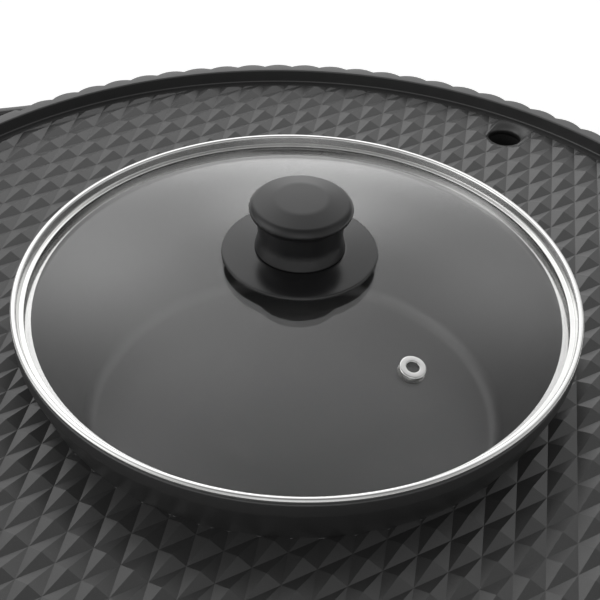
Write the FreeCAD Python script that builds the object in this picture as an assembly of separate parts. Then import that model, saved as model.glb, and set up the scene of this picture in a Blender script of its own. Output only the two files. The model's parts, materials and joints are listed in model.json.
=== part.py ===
import FreeCAD, Part
import math
import os
from FreeCAD import Vector

# Round electric griddle with a hot-pot well in its middle, in millimetres.
# Origin: centre of the surface it stands on. +Z up, +Y towards the fat drain, -Y towards the dials,
# the two loop handles on -X and +X.

# Driving dimensions: glass lid
LID_RADIUS = 120.0            # outside of the steel band
LID_BEAD_TOP_Z = 113.3
LID_BEAD_BOTTOM_Z = 110.7     # the rolled bead stands on the well's rim
LID_BEAD_INNER_RADIUS = 117.5
LID_BAND_BOTTOM_Z = 103.2     # the band's wall hangs inside the well's mouth
LID_BAND_SHEET = 0.6
LID_LIP_RADIUS = 114.6        # inner edge of the lip on top of the glass
LID_LIP_Z = 108.8
LID_FLANGE_RADIUS = 111.2     # inner edge of the flange under the glass
LID_GLASS_RADIUS = 116.0
LID_DOME_RADIUS = 318.0
LID_DOME_TOP_Z = 130.1
LID_GLASS_THICKNESS = 4.0
VENT_RADIUS_FROM_AXIS = 73.4
VENT_AZIMUTH = -18.6
VENT_FLANGE_RADIUS = 5.4
VENT_BORE_RADIUS = 2.55
KNOB_TOP_Z = 158.6
KNOB_BOTTOM_Z = 134.4
GUARD_RADIUS = 32.6
GUARD_BOTTOM_Z = 130.6

# Driving dimensions: grill plate with its well and handles
PLATE_TOP_Z = 84.6
PLATE_UNDERSIDE_Z = 80.6
PLATE_RIM_TOP_Z = 91.8
PLATE_RIM_INNER_RADIUS = 221.6
SCALLOP_LOBE_RADIUS = 228.9
SCALLOP_CUSP_RADIUS = 226.7
SCALLOPS_PER_SIDE = 38
SCALLOP_PITCH = 3.92          # degrees
SCALLOP_SIDES = (90.45, 270.45)   # middles of the two scalloped sides, degrees
PLAIN_RIM_HALF_WIDTH = 54.0   # the rim's stretch behind each handle has no scallops
SKIRT_BOTTOM_Z = 75.5
SKIRT_INNER_RADIUS = 223.6
DECK_INNER_RADIUS = 114.5     # where the flat deck meets the well
WELL_FLOOR_Z = 37.4
WELL_UNDERSIDE_Z = 33.6
WELL_MOUTH_RADIUS = 114.0     # where the tapered wall ends at a ledge
WELL_MOUTH_Z = 101.4
WELL_LEDGE_Z = 102.8
WELL_COLLAR_RADIUS = 117.8    # inside of the upright collar round the lid's band
WELL_WALL_SLOPE = 0.311       # radius gained per millimetre of height
WELL_FLOOR_CORNER_RADIUS = 94.1
WELL_RIM_RADIUS = 119.8
WELL_RIM_TOP_Z = 110.7
CASTING_WALL = 3.6
DRAIN_RADIUS_FROM_AXIS = 202.4
DRAIN_AZIMUTH = 91.2
DRAIN_HOLE_RADIUS = 8.9
DRAIN_SPOUT_RADIUS = 11.2
DRAIN_SPOUT_BOTTOM_Z = 62.0
DRAIN_STRIP_START = 184.0     # radius where the drain's strip of deck begins
DRAIN_STRIP_HALF_WIDTH = 18.0
HANDLE_REACH = 260.0
HANDLE_GAP_REACH = 248.0
HANDLE_BOTTOM_Z = 84.0
HANDLE_TOP_Z = 91.6
HANDLE_EDGE_RADIUS = 2.0
HANDLE_OUTER_ROOT = (-219.6, 64.5)
HANDLE_OUTER_POLE = (-244.4, 33.1)
HANDLE_OUTER_CROWN = 30.0
HANDLE_GAP_ROOT = (-221.0, 53.5)
HANDLE_GAP_POLE = (-239.5, 29.8)
HANDLE_GAP_CROWN = 26.0

# Driving dimensions: base
BASE_BOTTOM_Z = 12.0
BASE_TOP_Z = 77.0
BASE_TOP_RADIUS = 219.0
BASE_WAIST_RADIUS = 192.0
BASE_FOOT_RADIUS = 185.0
SHELL_WALL = 3.0
FRONT_FACE_Y = -208.0
FRONT_HALF_WIDTH = 76.0
FRONT_TOP_Z = 58.0
REAR_FACE_Y = 221.0
REAR_HALF_WIDTH = 54.0
REAR_TOP_Z = 64.0
SIDE_FACE_X = 199.0
SIDE_HALF_WIDTH = 24.0
SIDE_TOP_Z = 54.0
COVER_RADIUS = 181.0
COVER_OPENING_RADIUS = 168.0
COVER_TOP_Z = 14.5
LEDGE_BOTTOM_Z = 70.0
LEDGE_TOP_Z = 72.5
SHEET = 0.8
PAN_FLOOR_Z = 60.0
PAN_WALL_RADIUS = 189.0
PAN_INNER_RADIUS = 124.0
BOWL_FLOOR_Z = 19.5
BOWL_WALL_RADIUS = 108.0
BOWL_TOP_RADIUS = 121.0
ELEMENT_TUBE_RADIUS = 3.25
GRILL_LOOP_RADII = (146.0, 182.0)
GRILL_LOOP_Z = 76.7
GRILL_LOOP_START = -75.0
GRILL_LOOP_SWEEP = 325.0
GRILL_LEG_BEND = 8.0
GRILL_LEG_END_Z = 50.0
POT_LOOP_RADIUS = 70.0
POT_LOOP_Z = 29.7
POT_LEG_X = 12.0
POT_LEG_BEND = 12.0
POT_LEG_END_Y = -128.0
DIAL_X = 40.0
DIAL_Z = 36.0
DIAL_RADIUS = 16.5
DIAL_FACE_Y = -226.0
PANEL_THICKNESS = 2.0
SHAFT_RADIUS = 3.0
SHAFT_START_Y = -220.0
SHAFT_END_Y = -192.0
DIAL_GRIP_PROUD = 4.0
LENS_DEPTH = 9.0
RUNNING_CLEARANCE = 0.05
LAMP_X = 9.0
LAMP_Z = 44.0
LAMP_RADIUS = 3.2
BUSH_RADIUS = 5.0             # a thermostat's neck, and the hole that takes it
PANEL_HALF_WIDTH = 66.0
PANEL_BOTTOM_Z = 16.5
PANEL_HEIGHT = 38.0
CASE_FRONT_Y = -203.0         # thermostat case
CASE_BACK_Y = -184.0
CASE_HALF_WIDTH = 15.0
CASE_HALF_HEIGHT = 13.0
SPADE_LENGTH = 8.0
SPADE_OFFSET = 8.0
SPADE_RISE = 5.0
TRAY_HALF_WIDTH = 46.0
TRAY_BOTTOM_Z = 20.0
TRAY_TOP_Z = 56.0
TRAY_INNER_Y = 148.0
TRAY_WALL = 2.0
TRAY_FRONT_THICKNESS = 2.6
TRAY_FRONT_HALF_WIDTH = 48.0
RAIL_Y = (150.0, 215.0)
RAIL_X = (36.0, 49.5)
INLET_Z = 36.0
INLET_DEPTH = 24.0            # of the housing behind the base's side face
INLET_HALF_WIDTH = 13.5
INLET_HALF_HEIGHT = 10.0
SOCKET_DEPTH = 17.0
PIN_TAIL_X = SIDE_FACE_X - INLET_DEPTH - 6.0
SOCKET_HALF_WIDTH = 12.0
SOCKET_HALF_HEIGHT = 8.2
PIN_PLACES = ((-7.0, -1.8), (7.0, -1.8), (0.0, 2.2))   # y and height about the inlet's middle
BLOCK_X = (136.0, 152.0)      # terminal block
BLOCK_HEIGHT = 14.0
TERMINAL_PITCH = 12.0
FOOT_CIRCLE_RADIUS = 160.0
FOOT_SOLE_RADIUS = 9.5
FOOT_SCREW_RADIUS = 1.6
SCREW_CIRCLE_RADIUS = 175.0
SCREW_ANGLES = [angle + 22.5 for angle in range(0, 360, 45)]
COVER_SCREW_RADIUS = 1.5
COVER_HOLE_RADIUS = 1.55
VENT_SLOT_X = (96.0, 126.0)
VENT_SLOT_HALF_WIDTH = 2.5
REST_CIRCLE_RADIUS = 207.0
REST_RADIUS = 4.0
REST_ANGLES = (0, 60, 120, 180, 240, 300)
QUARTER_ANGLES = (45, 135, 225, 315)
SENSOR_RADIUS = 3.0
SENSOR_PLACES = (             # y, z, half length, half spacing of its clips, floor under it
    (-164.0, 71.0, 25.0, 15.0, PAN_FLOOR_Z + SHEET),
    (-44.0, 29.0, 16.0, 10.0, BOWL_FLOOR_Z + SHEET),
)
LEAD_RADIUS = 1.3
FIT = 0.1                     # clearance of a loose fit between two still pieces

ORIGIN = Vector(0, 0, 0)
UP = Vector(0, 0, 1)
FRONT = Vector(0, -1, 0)


def polar(radius, angle, z=0.0):
    turn = math.radians(angle)
    return Vector(radius * math.cos(turn), radius * math.sin(turn), z)


def box(x_range, y_range, z_range):
    size = [high - low for low, high in (x_range, y_range, z_range)]
    return Part.makeBox(*size, Vector(x_range[0], y_range[0], z_range[0]))


def rod(radius, start, end):
    return Part.makeCylinder(radius, (end - start).Length, start, end - start)


def upright(radius, z_low, z_high, x=0.0, y=0.0):
    return rod(radius, Vector(x, y, z_low), Vector(x, y, z_high))


def ring(inner, outer, z_low, z_high):
    return upright(outer, z_low, z_high).cut(upright(inner, z_low, z_high))


def fuse(shapes):
    shapes = list(shapes)
    return shapes[0].multiFuse(shapes[1:]).removeSplitter() if len(shapes) > 1 else shapes[0]


def rounded_edges(corners, closed=True):
    """Straight runs joined by tangent arcs. A corner is (point, radius of its arc)."""
    count = len(corners)
    cuts = []
    for index, (corner, radius) in enumerate(corners):
        is_end = not closed and index in (0, count - 1)
        if radius <= 0 or is_end:
            cuts.append((corner, corner, corner))
            continue
        before = (corners[index - 1][0] - corner).normalize()
        after = (corners[(index + 1) % count][0] - corner).normalize()
        half = before.getAngle(after) / 2
        reach = radius / math.tan(half)
        towards_centre = (before + after).normalize()
        middle = corner + towards_centre * (radius / math.sin(half) - radius)
        cuts.append((corner + before * reach, middle, corner + after * reach))
    edges = []
    for index, (start, middle, end) in enumerate(cuts):
        if (end - start).Length > 1e-6:
            edges.append(Part.Arc(start, middle, end).toShape())
        if closed or index < count - 1:
            next_start = cuts[(index + 1) % count][0]
            if (next_start - end).Length > 1e-6:
                edges.append(Part.LineSegment(end, next_start).toShape())
    return edges


def turned(profile, axis_point=ORIGIN, axis=UP):
    """A solid of revolution from (radius, height[, corner radius]) along the given axis."""
    side = Vector(1, 0, 0) if abs(axis.x) < 0.9 else Vector(0, 0, 1)
    corners = []
    for radius, height, *corner_radius in profile:
        place = axis_point + side * radius + axis * height
        corners.append((place, corner_radius[0] if corner_radius else 0.0))
    face = Part.Face(Part.Wire(rounded_edges(corners)))
    return face.revolve(axis_point, axis, 360)


def rounded_block(x_range, y_range, z_range, corner_radius):
    """A block with rounded upright edges."""
    left, right = x_range
    near, far = y_range
    plan = [(left, near), (right, near), (right, far), (left, far)]
    corners = [(Vector(x, y, z_range[0]), corner_radius) for x, y in plan]
    face = Part.Face(Part.Wire(rounded_edges(corners)))
    return face.extrude(Vector(0, 0, z_range[1] - z_range[0]))


def tube_bend(radius, start, centre, axis, angle):
    """A round tube that turns about an axis through centre, starting at start."""
    tangent = axis.cross(start - centre)
    face = Part.Face(Part.Wire(Part.Circle(start, tangent, radius).toShape()))
    return face.revolve(centre, axis, angle)


def tube_route(radius, points, bend):
    """A round tube of straight runs joined by tangent bends."""
    pieces = []
    start = points[0]
    for before, corner, after in zip(points, points[1:], points[2:]):
        incoming = (corner - before).normalize()
        outgoing = (after - corner).normalize()
        turn = incoming.getAngle(outgoing)
        reach = bend * math.tan(turn / 2)
        bend_start = corner - incoming * reach
        axis = incoming.cross(outgoing).normalize()
        centre = bend_start + axis.cross(incoming) * bend
        pieces.append(rod(radius, start, bend_start))
        pieces.append(tube_bend(radius, bend_start, centre, axis, math.degrees(turn)))
        start = corner + outgoing * reach
    pieces.append(rod(radius, start, points[-1]))
    return fuse(pieces)


def around_axis(shape, angles):
    return [shape.rotated(ORIGIN, UP, angle) for angle in angles]


def bezier(*poles):
    curve = Part.BezierCurve()
    curve.setPoles(list(poles))
    return curve.toShape()


# Glass lid

def dome(radius, rim_radius):
    """The solid under a spherical cap that shares the lid's centre of curvature."""
    centre_z = LID_DOME_TOP_Z - LID_DOME_RADIUS
    ball = Part.makeSphere(radius, Vector(0, 0, centre_z))
    return ball.common(upright(rim_radius, LID_BAND_BOTTOM_Z - 20, LID_DOME_TOP_Z + 5))


def vent_tilted(shape):
    """Stands a shape made on the origin square to the glass, at the steam vent."""
    tilt = math.degrees(math.asin(VENT_RADIUS_FROM_AXIS / LID_DOME_RADIUS))
    drop = LID_DOME_RADIUS * (1 - math.cos(math.radians(tilt)))
    leaning = shape.rotated(ORIGIN, Vector(0, 1, 0), tilt)
    placed = leaning.translated(Vector(VENT_RADIUS_FROM_AXIS, 0, LID_DOME_TOP_Z - drop))
    return placed.rotated(ORIGIN, UP, VENT_AZIMUTH)


def lid_glass():
    glass = dome(LID_DOME_RADIUS, LID_GLASS_RADIUS)
    glass = glass.cut(dome(LID_DOME_RADIUS - LID_GLASS_THICKNESS, LID_GLASS_RADIUS + 5))
    glass = glass.cut(upright(3.2, LID_DOME_TOP_Z - 10, LID_DOME_TOP_Z + 2))
    return glass.cut(vent_tilted(upright(4.0, -10, 10)))


def lid_band():
    """A rolled steel ring: a bead that stands on the well, and a wall, lip and flange round the glass."""
    glass_edge = LID_GLASS_RADIUS + FIT
    lip_top = LID_LIP_Z + LID_BAND_SHEET
    low = LID_BAND_BOTTOM_Z
    flange_top = low + LID_BAND_SHEET
    return turned([
        (LID_LIP_RADIUS, LID_LIP_Z), (LID_LIP_RADIUS, lip_top, 0.3), (glass_edge + 0.6, lip_top, 0.3),
        (LID_BEAD_INNER_RADIUS, LID_BEAD_TOP_Z, 1.2), (LID_RADIUS, LID_BEAD_TOP_Z, 1.24),
        (LID_RADIUS, LID_BEAD_BOTTOM_Z, 1.24), (LID_BEAD_INNER_RADIUS, LID_BEAD_BOTTOM_Z),
        (LID_BEAD_INNER_RADIUS - 0.2, low, 0.5), (LID_FLANGE_RADIUS, low),
        (LID_FLANGE_RADIUS, flange_top, 0.2), (glass_edge, flange_top), (glass_edge, LID_LIP_Z)])


def lid_vent_grommet():
    """A rolled steel eyelet through the glass."""
    under = -LID_GLASS_THICKNESS - 0.1
    eyelet = turned([
        (VENT_BORE_RADIUS, 0.9, 0.3), (VENT_FLANGE_RADIUS, 0.9, 0.4), (VENT_FLANGE_RADIUS, 0.12),
        (3.7, 0.12), (3.7, under), (VENT_FLANGE_RADIUS, under), (VENT_FLANGE_RADIUS, under - 0.7, 0.3),
        (VENT_BORE_RADIUS, under - 0.7, 0.2)])
    return vent_tilted(eyelet)


def lid_knob():
    """A mushroom knob on a waisted neck, moulded hollow for its screw."""
    base = KNOB_BOTTOM_Z
    top = KNOB_TOP_Z
    return turned([
        (2.1, base), (18.9, base, 0.6), (18.5, base + 1.4), (17.4, base + 6.5, 12), (18.1, base + 16.0, 3),
        (20.8, base + 17.8, 1.0), (21.5, base + 19.6, 2.0), (19.8, top - 2.4, 4), (11.0, top - 0.4, 12),
        (0.0, top), (0.0, base + 18.0), (2.1, base + 18.0)])


def lid_knob_guard():
    """The finger guard disc between the knob and the glass."""
    return turned([
        (2.3, GUARD_BOTTOM_Z), (31.4, GUARD_BOTTOM_Z, 1.0), (GUARD_RADIUS, GUARD_BOTTOM_Z + 1.1, 0.6),
        (GUARD_RADIUS - 0.4, GUARD_BOTTOM_Z + 2.4, 0.6), (19.6, KNOB_BOTTOM_Z, 1.0), (2.3, KNOB_BOTTOM_Z)])


def lid_knob_gasket():
    puck = ring(3.3, 15.0, LID_DOME_TOP_Z - 1.5, GUARD_BOTTOM_Z)
    return puck.cut(dome(LID_DOME_RADIUS + 0.05, 40.0))


def lid_knob_washer():
    """A cupped washer under the glass that spreads the screw's pull."""
    glass_under_z = LID_DOME_TOP_Z - LID_GLASS_THICKNESS
    puck = ring(2.3, 12.0, glass_under_z - 3.0, glass_under_z - 0.35)
    return puck


def lid_knob_screw():
    head_z = LID_DOME_TOP_Z - LID_GLASS_THICKNESS - 3.0
    return fuse([
        turned([(0, head_z - 2.2), (3.2, head_z - 2.2, 1.2), (4.2, head_z), (0, head_z)]),
        upright(2.0, head_z, KNOB_BOTTOM_Z + 16.0)])


# Grill plate: one casting, held as the deck, rim, well, spout and handles that meet face to face

def plate_outline(z_low, z_high):
    """The plate's plan outline: shallow lobes along both long sides, plain behind the handles."""
    half_span = SCALLOPS_PER_SIDE * SCALLOP_PITCH / 2
    edges = []
    for side in SCALLOP_SIDES:
        for index in range(SCALLOPS_PER_SIDE):
            start = side - half_span + index * SCALLOP_PITCH
            edges.append(Part.Arc(
                polar(SCALLOP_CUSP_RADIUS, start, z_low),
                polar(SCALLOP_LOBE_RADIUS, start + SCALLOP_PITCH / 2, z_low),
                polar(SCALLOP_CUSP_RADIUS, start + SCALLOP_PITCH, z_low)).toShape())
        edges.append(Part.Arc(
            polar(SCALLOP_CUSP_RADIUS, side + half_span, z_low),
            polar(SCALLOP_CUSP_RADIUS, side + 90.0, z_low),
            polar(SCALLOP_CUSP_RADIUS, side + 180.0 - half_span, z_low)).toShape())
    scalloped = Part.Face(Part.Wire(edges)).extrude(Vector(0, 0, z_high - z_low))
    across = (-SCALLOP_LOBE_RADIUS, SCALLOP_LOBE_RADIUS)
    strip = box(across, (-PLAIN_RIM_HALF_WIDTH, PLAIN_RIM_HALF_WIDTH), (z_low, z_high))
    return fuse([scalloped, strip.common(upright(SCALLOP_LOBE_RADIUS, z_low, z_high))])


def drain_rod(radius, z_low, z_high):
    place = polar(DRAIN_RADIUS_FROM_AXIS, DRAIN_AZIMUTH)
    return upright(radius, z_low, z_high, place.x, place.y)


def drain_strip():
    """The strip of deck that holds the drain and runs out to the rim."""
    strip = box(
        (DRAIN_STRIP_START, PLATE_RIM_INNER_RADIUS + 1), (-DRAIN_STRIP_HALF_WIDTH, DRAIN_STRIP_HALF_WIDTH),
        (PLATE_UNDERSIDE_Z, PLATE_TOP_Z))
    strip = strip.rotated(ORIGIN, UP, DRAIN_AZIMUTH)
    return strip.common(upright(PLATE_RIM_INNER_RADIUS, PLATE_UNDERSIDE_Z, PLATE_TOP_Z))


def grill_plate():
    """The flat cooking deck, whose top face is the bottom plane of its grooves."""
    return ring(DECK_INNER_RADIUS, PLATE_RIM_INNER_RADIUS, PLATE_UNDERSIDE_Z, PLATE_TOP_Z).cut(drain_strip())


def plate_rim():
    """The raised rim with its scalloped outside and the skirt that hangs round the base."""
    beyond = SCALLOP_LOBE_RADIUS + 2.0
    rim = turned([
        (PLATE_RIM_INNER_RADIUS, PLATE_UNDERSIDE_Z), (PLATE_RIM_INNER_RADIUS, PLATE_RIM_TOP_Z, 0.8),
        (beyond, PLATE_RIM_TOP_Z), (beyond, SKIRT_BOTTOM_Z), (SKIRT_INNER_RADIUS, SKIRT_BOTTOM_Z),
        (SKIRT_INNER_RADIUS, PLATE_UNDERSIDE_Z)])
    return rim.common(plate_outline(SKIRT_BOTTOM_Z - 1, PLATE_RIM_TOP_Z + 1))


def plate_well():
    """The hot-pot well: floor, tapered wall and the upright collar that the lid stands on."""
    wall_outer = WELL_FLOOR_CORNER_RADIUS + CASTING_WALL
    under_height = PLATE_UNDERSIDE_Z - WELL_UNDERSIDE_Z
    return turned([
        (0, WELL_FLOOR_Z), (WELL_FLOOR_CORNER_RADIUS, WELL_FLOOR_Z, 7.3),
        (WELL_MOUTH_RADIUS, WELL_MOUTH_Z, 3.0), (WELL_COLLAR_RADIUS, WELL_LEDGE_Z, 0.6),
        (WELL_COLLAR_RADIUS, WELL_RIM_TOP_Z, 0.4), (WELL_RIM_RADIUS, WELL_RIM_TOP_Z, 0.8),
        (WELL_RIM_RADIUS, WELL_LEDGE_Z + 1.5, 6.0), (112.9, PLATE_TOP_Z, 1.5),
        (DECK_INNER_RADIUS, PLATE_TOP_Z), (DECK_INNER_RADIUS, PLATE_UNDERSIDE_Z),
        (wall_outer + under_height * WELL_WALL_SLOPE, PLATE_UNDERSIDE_Z, 1.5),
        (wall_outer - 1.0, WELL_UNDERSIDE_Z, 8.0), (0, WELL_UNDERSIDE_Z)])


def drain_spout():
    """The fat drain: its strip of deck and the spout cast under it."""
    spout = fuse([drain_strip(), drain_rod(DRAIN_SPOUT_RADIUS, DRAIN_SPOUT_BOTTOM_Z, PLATE_TOP_Z)])
    return spout.cut(drain_rod(DRAIN_HOLE_RADIUS, DRAIN_SPOUT_BOTTOM_Z - 1, PLATE_TOP_Z + 1))


def handle_area(root, pole, reach, crown, z_low, z_high):
    """The area on -X between a straight root and a curve that bows out to reach."""
    start = Vector(*root, z_low)
    upper = bezier(start, Vector(*pole, z_low), Vector(-reach, crown, z_low), Vector(-reach, 0, z_low))
    lower = upper.mirror(ORIGIN, Vector(0, 1, 0))
    root_line = Part.LineSegment(Vector(root[0], -root[1], z_low), start).toShape()
    wire = Part.Wire(Part.__sortEdges__([root_line, upper, lower]))
    return Part.Face(wire).extrude(Vector(0, 0, z_high - z_low))


def handle_loop():
    low = HANDLE_BOTTOM_Z
    high = HANDLE_TOP_Z
    outer = handle_area(HANDLE_OUTER_ROOT, HANDLE_OUTER_POLE, HANDLE_REACH, HANDLE_OUTER_CROWN, low, high)
    gap = handle_area(HANDLE_GAP_ROOT, HANDLE_GAP_POLE, HANDLE_GAP_REACH, HANDLE_GAP_CROWN, low - 5, high + 5)
    bar = outer.cut(gap).cut(upright(SCALLOP_CUSP_RADIUS - 1.5, low - 1, high + 1))
    free_edges = [edge for edge in bar.Edges if edge.CenterOfMass.x < -SCALLOP_LOBE_RADIUS]
    bar = bar.makeFillet(HANDLE_EDGE_RADIUS, [edge for edge in free_edges if edge.Length > 40])
    bar = bar.cut(plate_outline(low - 1, high + 1))
    return max(bar.Solids, key=lambda solid: solid.Volume)


def plate_handles():
    return Part.makeCompound(around_axis(handle_loop(), (0, 180)))


# Base

def base_solid(inset, z_low, z_high):
    """The base's outer form, or the space inside it when inset by the wall."""
    foot = BASE_FOOT_RADIUS - inset
    waist = BASE_WAIST_RADIUS - inset
    top = BASE_TOP_RADIUS - inset
    bowl = turned([
        (0, z_low), (foot, z_low), (waist, 50.0, 40.0), (top, 67.0, 12.0), (top, z_high), (0, z_high)])
    front = rounded_block(
        (-FRONT_HALF_WIDTH + inset, FRONT_HALF_WIDTH - inset), (FRONT_FACE_Y + inset, 0),
        (BASE_BOTTOM_Z + inset, FRONT_TOP_Z - inset), 8.0 - inset)
    rear = rounded_block(
        (-REAR_HALF_WIDTH + inset, REAR_HALF_WIDTH - inset), (0, REAR_FACE_Y - inset),
        (BASE_BOTTOM_Z + inset, REAR_TOP_Z - inset), 8.0 - inset)
    side = rounded_block(
        (0, SIDE_FACE_X - inset), (-SIDE_HALF_WIDTH + inset, SIDE_HALF_WIDTH - inset),
        (BASE_BOTTOM_Z + inset, SIDE_TOP_Z - inset), 6.0 - inset)
    return fuse([bowl, front, rear, side])


def dial_centres():
    return [Vector(x, 0, DIAL_Z) for x in (DIAL_X, -DIAL_X)]


def lamp_centres():
    return [Vector(x, 0, LAMP_Z) for x in (LAMP_X, -LAMP_X)]


def along_y(radius, centre, y_start, y_end):
    return rod(radius, Vector(centre.x, y_start, centre.z), Vector(centre.x, y_end, centre.z))


def centred_box(x_range, half_width, half_height):
    """A block about the middle of the inlet's face."""
    return box(x_range, (-half_width, half_width), (INLET_Z - half_height, INLET_Z + half_height))


def front_holes(depth):
    """Holes through the flat front for the dials' bushes and the lamps."""
    places = [(BUSH_RADIUS, centre) for centre in dial_centres()]
    places += [(LAMP_RADIUS, centre) for centre in lamp_centres()]
    ends = (FRONT_FACE_Y - 5, FRONT_FACE_Y + depth)
    return [along_y(radius + FIT, centre, *ends) for radius, centre in places]


def circle_of_rods(radius, circle_radius, angles, z_low, height):
    return around_axis(upright(radius, z_low, z_low + height, circle_radius), angles)


def base_shell():
    shell = base_solid(0.0, BASE_BOTTOM_Z, BASE_TOP_Z)
    shell = shell.cut(base_solid(SHELL_WALL, BASE_BOTTOM_Z + 5.0, BASE_TOP_Z + 5))
    shell = shell.cut(upright(COVER_OPENING_RADIUS, BASE_BOTTOM_Z - 1, BASE_BOTTOM_Z + 6))
    shell = shell.cut(upright(COVER_RADIUS + 0.1, BASE_BOTTOM_Z - 1, COVER_TOP_Z))
    ledge = ring(PAN_WALL_RADIUS + 8.0, BASE_TOP_RADIUS - 2.0, LEDGE_BOTTOM_Z, LEDGE_TOP_Z)
    shell = fuse([shell, ledge])
    cuts = [drain_rod(DRAIN_SPOUT_RADIUS + 1.7, TRAY_TOP_Z, BASE_TOP_Z + 1)]
    gap = 0.5
    half_width = TRAY_FRONT_HALF_WIDTH + gap
    through_rear = (REAR_FACE_Y - 10, REAR_FACE_Y + 5)
    cuts.append(box((-half_width, half_width), through_rear, (TRAY_BOTTOM_Z - gap, TRAY_TOP_Z + 2.0)))
    through_side = (SIDE_FACE_X - 10, SIDE_FACE_X + 5)
    cuts.append(centred_box(through_side, INLET_HALF_WIDTH + FIT, INLET_HALF_HEIGHT + FIT))
    cuts.extend(front_holes(10.0))
    cuts.extend(circle_of_rods(COVER_HOLE_RADIUS, SCREW_CIRCLE_RADIUS, SCREW_ANGLES, BASE_BOTTOM_Z, 6.0))
    for cut in cuts:
        shell = shell.cut(cut)
    return shell


def control_panel():
    """A trim plate on the flat front, with openings for the dials' bushes and the lamps."""
    across = (-PANEL_HALF_WIDTH, PANEL_HALF_WIDTH)
    plate = rounded_block(across, (-PANEL_THICKNESS, 0), (0, PANEL_HEIGHT), 0.9)
    plate = plate.translated(Vector(0, FRONT_FACE_Y, PANEL_BOTTOM_Z))
    for hole in front_holes(5.0):
        plate = plate.cut(hole)
    return plate


def bottom_cover():
    """The plastic base plate, with screw holes and a ring of vent slots."""
    thickness = COVER_TOP_Z - BASE_BOTTOM_Z
    cover = upright(COVER_RADIUS, BASE_BOTTOM_Z, COVER_TOP_Z)
    low = BASE_BOTTOM_Z - 1
    cuts = circle_of_rods(COVER_HOLE_RADIUS, SCREW_CIRCLE_RADIUS, SCREW_ANGLES, low, thickness + 2)
    cuts += circle_of_rods(FOOT_SCREW_RADIUS + 0.05, FOOT_CIRCLE_RADIUS, QUARTER_ANGLES, low, thickness + 2)
    slot_width = (-VENT_SLOT_HALF_WIDTH, VENT_SLOT_HALF_WIDTH)
    slot = rounded_block(VENT_SLOT_X, slot_width, (low, COVER_TOP_Z + 1), VENT_SLOT_HALF_WIDTH - 0.1)
    cuts += around_axis(slot, range(0, 360, 15))
    for cut in cuts:
        cover = cover.cut(cut)
    return cover


def bottom_cover_screws():
    head_z = BASE_BOTTOM_Z - 1.8
    head = turned([(0, head_z), (2.4, head_z, 0.8), (3.2, BASE_BOTTOM_Z), (0, BASE_BOTTOM_Z)])
    screw = fuse([head, upright(COVER_SCREW_RADIUS, BASE_BOTTOM_Z, BASE_BOTTOM_Z + 4.5)])
    screw = screw.translated(Vector(SCREW_CIRCLE_RADIUS, 0, 0))
    return Part.makeCompound(around_axis(screw, SCREW_ANGLES))


def feet():
    """Rubber feet, each with a pocket in its sole for its screw's head."""
    bore = FOOT_SCREW_RADIUS + 0.15
    pocket_radius = 4.2
    pocket_top_z = 4.0
    foot = turned([
        (bore, pocket_top_z), (pocket_radius, pocket_top_z), (pocket_radius, 0.0),
        (FOOT_SOLE_RADIUS, 0.0, 1.0), (FOOT_SOLE_RADIUS + 2.0, BASE_BOTTOM_Z, 0.4), (bore, BASE_BOTTOM_Z)])
    foot = foot.translated(Vector(FOOT_CIRCLE_RADIUS, 0, 0))
    return Part.makeCompound(around_axis(foot, QUARTER_ANGLES))


def foot_screws():
    screw = fuse([upright(3.4, 2.0, 4.0), upright(FOOT_SCREW_RADIUS, 4.0, COVER_TOP_Z + 2.0)])
    screw = screw.translated(Vector(FOOT_CIRCLE_RADIUS, 0, 0))
    return Part.makeCompound(around_axis(screw, QUARTER_ANGLES))


def grill_reflector():
    """A ring-shaped sheet pan that throws the outer element's heat up at the plate."""
    low = PAN_FLOOR_Z
    wall = PAN_WALL_RADIUS
    flange = BASE_TOP_RADIUS - 7.0
    pan = turned([
        (PAN_INNER_RADIUS, low), (wall, low, 4.0), (wall, LEDGE_TOP_Z), (flange, LEDGE_TOP_Z),
        (flange, LEDGE_TOP_Z + SHEET), (wall - SHEET, LEDGE_TOP_Z + SHEET), (wall - SHEET, low + SHEET, 3.2),
        (PAN_INNER_RADIUS, low + SHEET)])
    pan = pan.cut(drain_rod(DRAIN_SPOUT_RADIUS + 1.7, low - 5, BASE_TOP_Z))
    for radius in GRILL_LOOP_RADII:
        place = element_leg_place(radius)
        pan = pan.cut(upright(5.5, low - 5, low + 5, place.x, place.y))
    return pan


def pot_reflector():
    """A sheet bowl round the well, hung by its flange under the ring pan."""
    low = BOWL_FLOOR_Z
    flange = PAN_INNER_RADIUS + 12.0
    middle_hole = 18.0
    bowl = turned([
        (middle_hole, low), (BOWL_WALL_RADIUS, low, 8.0), (BOWL_TOP_RADIUS, PAN_FLOOR_Z - SHEET),
        (flange, PAN_FLOOR_Z - SHEET), (flange, PAN_FLOOR_Z), (BOWL_TOP_RADIUS - SHEET, PAN_FLOOR_Z),
        (BOWL_WALL_RADIUS - SHEET, low + SHEET, 7.2), (middle_hole, low + SHEET)])
    for x in (POT_LEG_X, -POT_LEG_X):
        bowl = bowl.cut(along_y(6.0, Vector(x, 0, POT_LOOP_Z), POT_LEG_END_Y, -95.0))
    return bowl


def element_leg_place(radius):
    """The axis of a leg of the outer element, past the bend at the end of its ring."""
    return polar(radius, GRILL_LOOP_START) + polar(GRILL_LEG_BEND, GRILL_LOOP_START - 90.0)


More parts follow.
